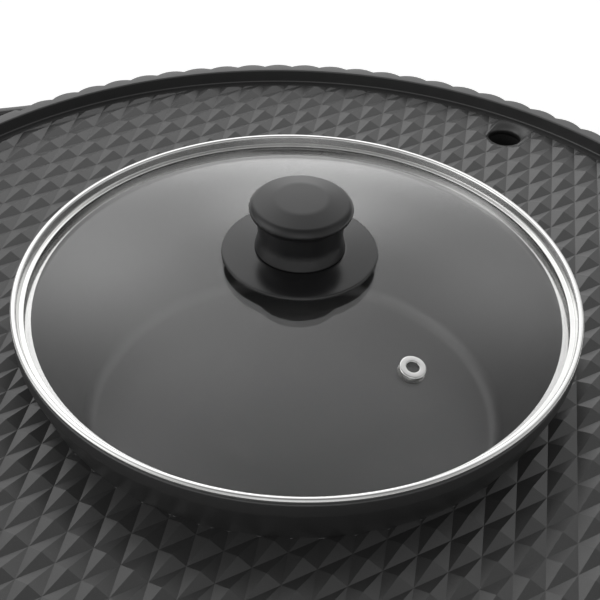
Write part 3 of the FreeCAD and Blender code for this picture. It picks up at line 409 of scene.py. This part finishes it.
def casting_profile():
    """The plate's section, from the middle of the well's floor out to the rim and back underneath."""
    wall_outer = WELL_FLOOR_RADIUS + WELL_WALL
    under_wall = wall_outer + (PLATE_UNDERSIDE_Z - WELL_UNDERSIDE_Z) * WELL_WALL_SLOPE
    well = [
        (0, WELL_FLOOR_Z), (WELL_FLOOR_RADIUS, WELL_FLOOR_Z, 7.3), (WELL_MOUTH_RADIUS, WELL_MOUTH_Z, 3.0),
        (WELL_COLLAR_RADIUS, WELL_LEDGE_Z, 0.6), (WELL_COLLAR_RADIUS, WELL_RIM_Z, 0.4),
        (WELL_RIM_RADIUS, WELL_RIM_Z, 0.8), (WELL_RIM_RADIUS, WELL_LEDGE_Z + 1.5, 6.0)]
    deck = [
        (WELL_FOOT_RADIUS, PLATE_Z, 0.4), (RIM_INNER_RADIUS, PLATE_Z, 0.8),
        (RIM_INNER_RADIUS, RIM_TOP_Z, 0.8), (LOBE_RADIUS, RIM_TOP_Z, 1.0)]
    underside = [
        (LOBE_RADIUS, SKIRT_BOTTOM_Z, 1.0), (SKIRT_INNER_RADIUS, SKIRT_BOTTOM_Z, 0.4),
        (SKIRT_INNER_RADIUS, PLATE_UNDERSIDE_Z, 1.0), (under_wall, PLATE_UNDERSIDE_Z, 1.5),
        (wall_outer - 1.0, WELL_UNDERSIDE_Z, 8.0), (0, WELL_UNDERSIDE_Z)]
    return rounded(well + deck + underside, 5)


def drain_distance(x, y):
    """Distance from the line that runs from the drain's centre straight out to the rim."""
    outward = polar(1.0, DRAIN_AZIMUTH)
    along = max(DRAIN_RADIUS_FROM_AXIS, x * outward[0] + y * outward[1])
    nearest = outward * along
    return math.hypot(x - nearest[0], y - nearest[1])


SLOPED_ENDS = (
    lambda x, y: FIELD_OUTER_RADIUS - math.hypot(x, y),
    lambda x, y: drain_distance(x, y) - DRAIN_FLAT_RADIUS,
)
FIELD_ENDS = SLOPED_ENDS + (lambda x, y: math.hypot(x, y) - FIELD_INNER_RADIUS,)


def clip(polygon, depth):
    """Keeps the part of a small polygon of (x, y, z) with depth above nought, and tells where it was cut."""
    kept = []
    crossings = []
    for here, after in zip(polygon, polygon[1:] + polygon[:1]):
        is_in = depth(here[0], here[1]) >= 0
        if is_in:
            kept.append(here)
        if is_in != (depth(after[0], after[1]) >= 0):
            low, high = 0.0, 1.0
            for _ in range(24):
                share = (low + high) / 2
                point = here + (after - here) * share
                if (depth(point[0], point[1]) >= 0) == is_in:
                    low = share
                else:
                    high = share
            kept.append(here + (after - here) * low)
            crossings.append(kept[-1])
    return kept, crossings


def subdivide(triangle, count):
    """Cuts a triangle into count * count small ones."""
    a, b, c = triangle

    def at(i, j):
        return a + (b - a) * (i / count) + (c - a) * (j / count)

    pieces = []
    for i in range(count):
        for j in range(count - i):
            pieces.append([at(i, j), at(i + 1, j), at(i, j + 1)])
            if i + j < count - 1:
                pieces.append([at(i + 1, j), at(i + 1, j + 1), at(i, j + 1)])
    return pieces


def pyramid_field():
    """Rhombic pyramids between the well and the rim. They slope down to the deck at the rim and the drain.

    A facet that an end of the field crosses is made of small triangles, so that its cut edge is smooth."""
    half_x = PYRAMID_SHORT_DIAGONAL / 2
    half_y = PYRAMID_LONG_DIAGONAL / 2
    low_z = PLATE_Z - 0.5
    valley_z = PLATE_Z + 0.04
    slope_length = PYRAMID_HEIGHT / END_SLOPE
    clear = 0.5
    outside = 2.5
    vertices = []
    index_of = {}
    faces = []

    def vertex(point):
        key = (round(point[0], 4), round(point[1], 4), round(point[2], 4))
        if key not in index_of:
            index_of[key] = len(vertices)
            vertices.append(key)
        return index_of[key]

    def emit(points):
        ids = list(dict.fromkeys(vertex(point) for point in points))
        if len(ids) >= 3:
            faces.append(ids)

    def emit_block(polygon):
        emit(polygon)
        emit([(x, y, low_z) for x, y, z in reversed(polygon)])

    def lowered(point):
        depth = min(end(point[0], point[1]) for end in SLOPED_ENDS)
        return np.array([point[0], point[1], min(point[2], valley_z + END_SLOPE * max(depth, 0.0))])

    def corner(i, j):
        x, y = PATTERN_VERTEX
        return np.array([x + (i - j) * half_x, y + (i + j) * half_y, valley_z])

    reach = int(2 * FIELD_OUTER_RADIUS / PYRAMID_SHORT_DIAGONAL) + 20
    for i in range(-reach, reach):
        for j in range(-reach, reach):
            corners = [corner(i, j), corner(i + 1, j), corner(i + 1, j + 1), corner(i, j + 1)]
            middle = sum(corners) / 4
            if math.hypot(middle[0], middle[1]) > FIELD_OUTER_RADIUS + half_y:
                continue
            apex = middle + np.array([0, 0, PYRAMID_HEIGHT])
            places = corners + [apex]
            depths = [[end(x, y) for x, y, z in places] for end in FIELD_ENDS]
            if any(max(row) < -outside for row in depths):
                continue
            facets = [[a, b, apex] for a, b in zip(corners, corners[1:] + corners[:1])]
            if all(min(row) > clear and row[-1] > slope_length + clear for row in depths):
                for facet in facets:
                    emit_block(facet)
                continue
            for facet in facets:
                for polygon in subdivide(facet, 10):
                    chords = []
                    for end in FIELD_ENDS:
                        if polygon:
                            polygon, crossings = clip(polygon, end)
                            chords.append(crossings)
                    if len(polygon) < 3:
                        continue
                    emit_block([lowered(point) for point in polygon])
                    for chord in chords:
                        if len(chord) == 2:
                            first, last = [lowered(point) for point in chord]
                            emit([first, last, (last[0], last[1], low_z), (first[0], first[1], low_z)])
    return vertices, faces


def bezier_point(poles, t):
    a, b, c, d = poles
    s = 1 - t
    return a * s ** 3 + b * 3 * s * s * t + c * 3 * s * t * t + d * t ** 3


def handle_loop(turn):
    """A crowned bar that bows out from the rim, thin at its roots. The turn is in radians."""
    outer = [np.array(pole) for pole in HANDLE_OUTER_POLES]
    inner = [np.array(pole) for pole in HANDLE_INNER_POLES]
    steps = 28
    rails = [(bezier_point(outer, k / steps), bezier_point(inner, k / steps)) for k in range(steps + 1)]
    rails += [(np.array([o[0], -o[1]]), np.array([i[0], -i[1]])) for o, i in reversed(rails[:-1])]
    root_shift = np.array([4.0, 2.0])
    rails.insert(0, (rails[0][0] + root_shift, rails[0][1] + root_shift))
    rails.append((rails[-1][0] + root_shift * (1, -1), rails[-1][1] + root_shift * (1, -1)))
    centre_z = (HANDLE_BOTTOM_Z + HANDLE_TOP_Z) / 2
    half_height = (HANDLE_TOP_Z - HANDLE_BOTTOM_Z) / 2
    sides = 24
    vertices = []
    for o, i in rails:
        middle = (o + i) / 2
        reach = (o - i) / 2
        for k in range(sides):
            angle = 2 * math.pi * k / sides
            c, s = math.cos(angle), math.sin(angle)
            width = math.copysign(abs(c) ** 0.6, c)
            height = math.copysign(abs(s) ** 0.7, s)
            x, y = middle + reach * width
            vertices.append((x, y, centre_z + half_height * height))
    faces = []
    for ring in range(len(rails) - 1):
        for k in range(sides):
            a = ring * sides + k
            b = ring * sides + (k + 1) % sides
            faces.append([a, b, b + sides, a + sides])
    faces.append(list(range(sides))[::-1])
    faces.append([(len(rails) - 1) * sides + k for k in range(sides)])
    c, s = math.cos(turn), math.sin(turn)
    return [(x * c - y * s, x * s + y * c, z) for x, y, z in vertices], faces


def drain_part(profile):
    """An outline turned about the drain's axis."""
    x, y = polar(DRAIN_RADIUS_FROM_AXIS, DRAIN_AZIMUTH)
    vertices, faces = lathe(profile, even_angles(64))
    return [(vx + x, vy + y, vz) for vx, vy, vz in vertices], faces


def build_plate():
    body = lathe(casting_profile(), scallop_angles(), scallop_reshape)
    plate = make_piece(
        "cooking_plate", [body], COATING, "plate",
        ["grill_plate", "plate_rim", "plate_well"])
    outward(plate)
    hole_bottom = PLATE_UNDERSIDE_Z - 5
    hole_top = PLATE_Z + 5
    cut(plate, *drain_part([
        (0, hole_bottom), (DRAIN_HOLE_RADIUS, hole_bottom), (DRAIN_HOLE_RADIUS, hole_top), (0, hole_top)]))
    field = make_piece(
        "pyramid_field", [pyramid_field()], COATING, "plate", sharp=2.0)
    spout_profile = rounded([
        (DRAIN_HOLE_RADIUS, SPOUT_BOTTOM_Z), (SPOUT_RADIUS, SPOUT_BOTTOM_Z, 0.5),
        (SPOUT_RADIUS, PLATE_UNDERSIDE_Z + 0.5), (DRAIN_HOLE_RADIUS, PLATE_UNDERSIDE_Z + 0.5)], 3)
    spout = make_piece(
        "spout_tube", [drain_part(spout_profile)], COATING, "plate", ["drain_spout"])
    handles = make_piece(
        "loop_handles", [handle_loop(0.0), handle_loop(math.pi)], COATING, "plate",
        ["plate_handles"], sharp=50.0)
    for piece in (field, spout, handles):
        outward(piece)


# Lid

def dome_z(radius, sphere_radius):
    centre_z = DOME_TOP_Z - DOME_RADIUS
    return centre_z + math.sqrt(sphere_radius ** 2 - radius ** 2)


def vent_matrix():
    tilt = math.asin(VENT_FROM_AXIS / DOME_RADIUS)
    lean = Matrix.Rotation(tilt, 4, "Y")
    place = Matrix.Translation(Vector((VENT_FROM_AXIS, 0, dome_z(VENT_FROM_AXIS, DOME_RADIUS))))
    return Matrix.Rotation(math.radians(VENT_AZIMUTH), 4, "Z") @ place @ lean


def moved(part, matrix):
    vertices, faces = part
    return [tuple(matrix @ Vector(v)) for v in vertices], faces


def lid_piece(name, part, material, replaced):
    """A turned piece of the lid that stands in for one CAD node."""
    outward(make_piece(name, [part], material, "lid", [replaced]))


def glass_part():
    steps = 60
    radii = [GLASS_RADIUS * k / steps for k in range(steps + 1)]
    outer = [(radius, dome_z(radius, DOME_RADIUS)) for radius in radii]
    inner = [(radius, dome_z(radius, DOME_RADIUS - GLASS_THICKNESS)) for radius in reversed(radii)]
    return lathe(outer + inner, even_angles(256))


def band_part():
    """The folded band: a lip over the glass, a rolled bead outside and a flange under the glass."""
    edge = GLASS_RADIUS + 0.1
    lip_top = BAND_LIP_Z + BAND_SHEET
    flange_top = BAND_BOTTOM_Z + BAND_SHEET
    profile = rounded([
        (BAND_LIP_RADIUS, BAND_LIP_Z, 0.2), (BAND_LIP_RADIUS, lip_top, 0.3),
        (edge + BAND_SHEET, lip_top, 0.3), (BEAD_INNER_RADIUS, BEAD_TOP_Z, 1.2), (LID_RADIUS, BEAD_TOP_Z, 1.24),
        (LID_RADIUS, BEAD_BOTTOM_Z, 1.24), (BEAD_INNER_RADIUS, BEAD_BOTTOM_Z, 0.2),
        (BEAD_INNER_RADIUS - 0.2, BAND_BOTTOM_Z, 0.5), (BAND_FLANGE_RADIUS, BAND_BOTTOM_Z, 0.1),
        (BAND_FLANGE_RADIUS, flange_top, 0.2), (edge, flange_top), (edge, BAND_LIP_Z)], 8)
    return lathe(profile, even_angles(360))


def eyelet_part():
    """A riveted eyelet with a flange on each face of the glass, leaning with the dome."""
    under = -GLASS_THICKNESS - 0.1
    profile = rounded([
        (EYELET_BORE_RADIUS, 0.9, 0.45), (EYELET_RADIUS, 0.9, 0.6), (EYELET_RADIUS, 0.1),
        (EYELET_NECK_RADIUS, 0.1), (EYELET_NECK_RADIUS, under), (EYELET_RADIUS, under),
        (EYELET_RADIUS, under - 0.7, 0.3), (EYELET_BORE_RADIUS, under - 0.7, 0.3)], 6)
    return moved(lathe(profile, even_angles(72)), vent_matrix())


def knob_part():
    base, top = KNOB_BOTTOM_Z, KNOB_TOP_Z
    profile = rounded([
        (0, base), (18.9, base, 0.6), (18.5, base + 1.4), (17.4, base + 6.5, 12), (18.1, base + 16.0, 3),
        (20.8, base + 17.8, 1.0), (21.5, base + 19.6, 2.0), (19.8, top - 2.4, 4), (11.0, top - 0.4, 12),
        (0.0, top)], 10)
    return lathe(profile, even_angles(144))


def guard_part():
    base = GUARD_BOTTOM_Z
    profile = rounded([
        (GUARD_BORE_RADIUS, base), (GUARD_RADIUS - 1.2, base, 1.0), (GUARD_RADIUS, base + 1.1, 0.6),
        (GUARD_RADIUS - 0.4, base + 2.4, 0.6), (19.6, KNOB_BOTTOM_Z, 1.0),
        (GUARD_BORE_RADIUS, KNOB_BOTTOM_Z)], 6)
    return lathe(profile, even_angles(144))


def build_lid():
    lid_piece("lid_dome", glass_part(), GLASS, "lid_glass")
    lid_piece("lid_edge_band", band_part(), BAND_STEEL, "lid_band")
    lid_piece("steam_eyelet", eyelet_part(), EYELET_STEEL, "lid_vent_grommet")
    lid_piece("lid_knob_body", knob_part(), KNOB_PLASTIC, "lid_knob")
    lid_piece("knob_guard_disc", guard_part(), GUARD_PLASTIC, "lid_knob_guard")


# Stage, camera and light

def build_stage():
    floor_mesh = bpy.data.meshes.new("floor")
    half = 6.0
    corners = [(-half, -half, 0), (half, -half, 0), (half, half, 0), (-half, half, 0)]
    floor_mesh.from_pydata(corners, [], [(0, 1, 2, 3)])
    floor = bpy.data.objects.new("floor", floor_mesh)
    bpy.context.scene.collection.objects.link(floor)
    n = Nodes("pale_floor")
    n.set(Roughness=0.9, Emission_Color=(1, 1, 1, 1), Emission_Strength=0.42)
    n.give(n.ramp(n.noise(3.0, 2.0), [(0.3, grey(0.88)), (0.7, grey(0.9))]), "Base Color")
    floor.data.materials.append(n.material)


def build_camera():
    dip = math.radians(CAMERA_DIP)
    roll = math.radians(CAMERA_ROLL)
    ahead = Vector((0, math.cos(dip), -math.sin(dip)))
    level = Vector((1, 0, 0))
    above = level.cross(ahead)
    right = level * math.cos(roll) + above * math.sin(roll)
    up = above * math.cos(roll) - level * math.sin(roll)
    turn = Matrix.Rotation(math.radians(CAMERA_AZIMUTH), 3, "Z")
    axes = [turn @ right, turn @ up, turn @ -ahead]
    data = bpy.data.cameras.new("camera")
    data.sensor_width = SENSOR_WIDTH
    data.lens = CAMERA_LENS
    data.clip_end = 50.0
    camera = bpy.data.objects.new("camera", data)
    camera.matrix_world = Matrix.Translation(Vector(CAMERA_PLACE) * MM) @ Matrix(axes).transposed().to_4x4()
    bpy.context.scene.collection.objects.link(camera)
    bpy.context.scene.camera = camera


class Sky:
    """A studio dome made of broad soft glows on an even grey, with plain white behind the object."""

    def __init__(self, even):
        self.world = bpy.data.worlds.new("studio")
        self.world.use_nodes = True
        self.tree = self.world.node_tree
        self.total = self.value(even)
        self.direction = self.tree.nodes.new("ShaderNodeTexCoord").outputs["Generated"]

    def value(self, number):
        node = self.tree.nodes.new("ShaderNodeValue")
        node.outputs[0].default_value = number
        return node.outputs[0]

    def math(self, operation, *sources):
        node = self.tree.nodes.new("ShaderNodeMath")
        node.operation = operation
        for index, source in enumerate(sources):
            if isinstance(source, (int, float)):
                node.inputs[index].default_value = source
            else:
                self.tree.links.new(source, node.inputs[index])
        return node.outputs[0]

    def glow(self, turn, elevation, narrowness, strength):
        """A soft glow, turned left from straight behind the object as the camera sees it, in degrees."""
        azimuth = math.radians(90.0 + CAMERA_AZIMUTH + turn)
        height = math.radians(elevation)
        facing = self.tree.nodes.new("ShaderNodeVectorMath")
        facing.operation = "DOT_PRODUCT"
        facing.inputs[1].default_value = (
            math.cos(height) * math.cos(azimuth), math.cos(height) * math.sin(azimuth), math.sin(height))
        self.tree.links.new(self.direction, facing.inputs[0])
        shape = self.math("POWER", self.math("MAXIMUM", facing.outputs["Value"], 0.0), narrowness)
        self.total = self.math("ADD", self.total, self.math("MULTIPLY", shape, strength))

    def finish(self):
        seen = self.tree.nodes.new("ShaderNodeLightPath").outputs["Is Camera Ray"]
        lit = self.math("MULTIPLY", self.total, self.math("SUBTRACT", 1.0, seen))
        self.tree.links.new(self.math("ADD", lit, seen), self.tree.nodes["Background"].inputs["Strength"])
        self.tree.nodes["Background"].inputs["Color"].default_value = (1, 1, 1, 1)
        bpy.context.scene.world = self.world


def build_light():
    sky = Sky(even=0.17)
    sky.glow(turn=0, elevation=0, narrowness=20, strength=1.2)
    sky.glow(turn=0, elevation=24, narrowness=40, strength=1.5)
    sky.glow(turn=0, elevation=44, narrowness=60, strength=0.7)
    sky.glow(turn=0, elevation=58, narrowness=20, strength=0.37)
    sky.glow(turn=30, elevation=12, narrowness=30, strength=0.6)
    sky.glow(turn=30, elevation=30, narrowness=30, strength=1.1)
    sky.glow(turn=30, elevation=50, narrowness=20, strength=1.0)
    sky.glow(turn=-30, elevation=12, narrowness=30, strength=0.3)
    sky.glow(turn=-30, elevation=30, narrowness=30, strength=0.7)
    sky.glow(turn=-30, elevation=50, narrowness=20, strength=0.55)
    sky.glow(turn=100, elevation=25, narrowness=8, strength=1.5)
    sky.glow(turn=-100, elevation=25, narrowness=8, strength=0.5)
    sky.glow(turn=180, elevation=25, narrowness=6, strength=0.7)
    sky.finish()


dress_frame_nodes()
build_plate()
build_lid()
build_stage()
build_camera()
build_light()
bpy.context.scene.view_settings.view_transform = "Standard"
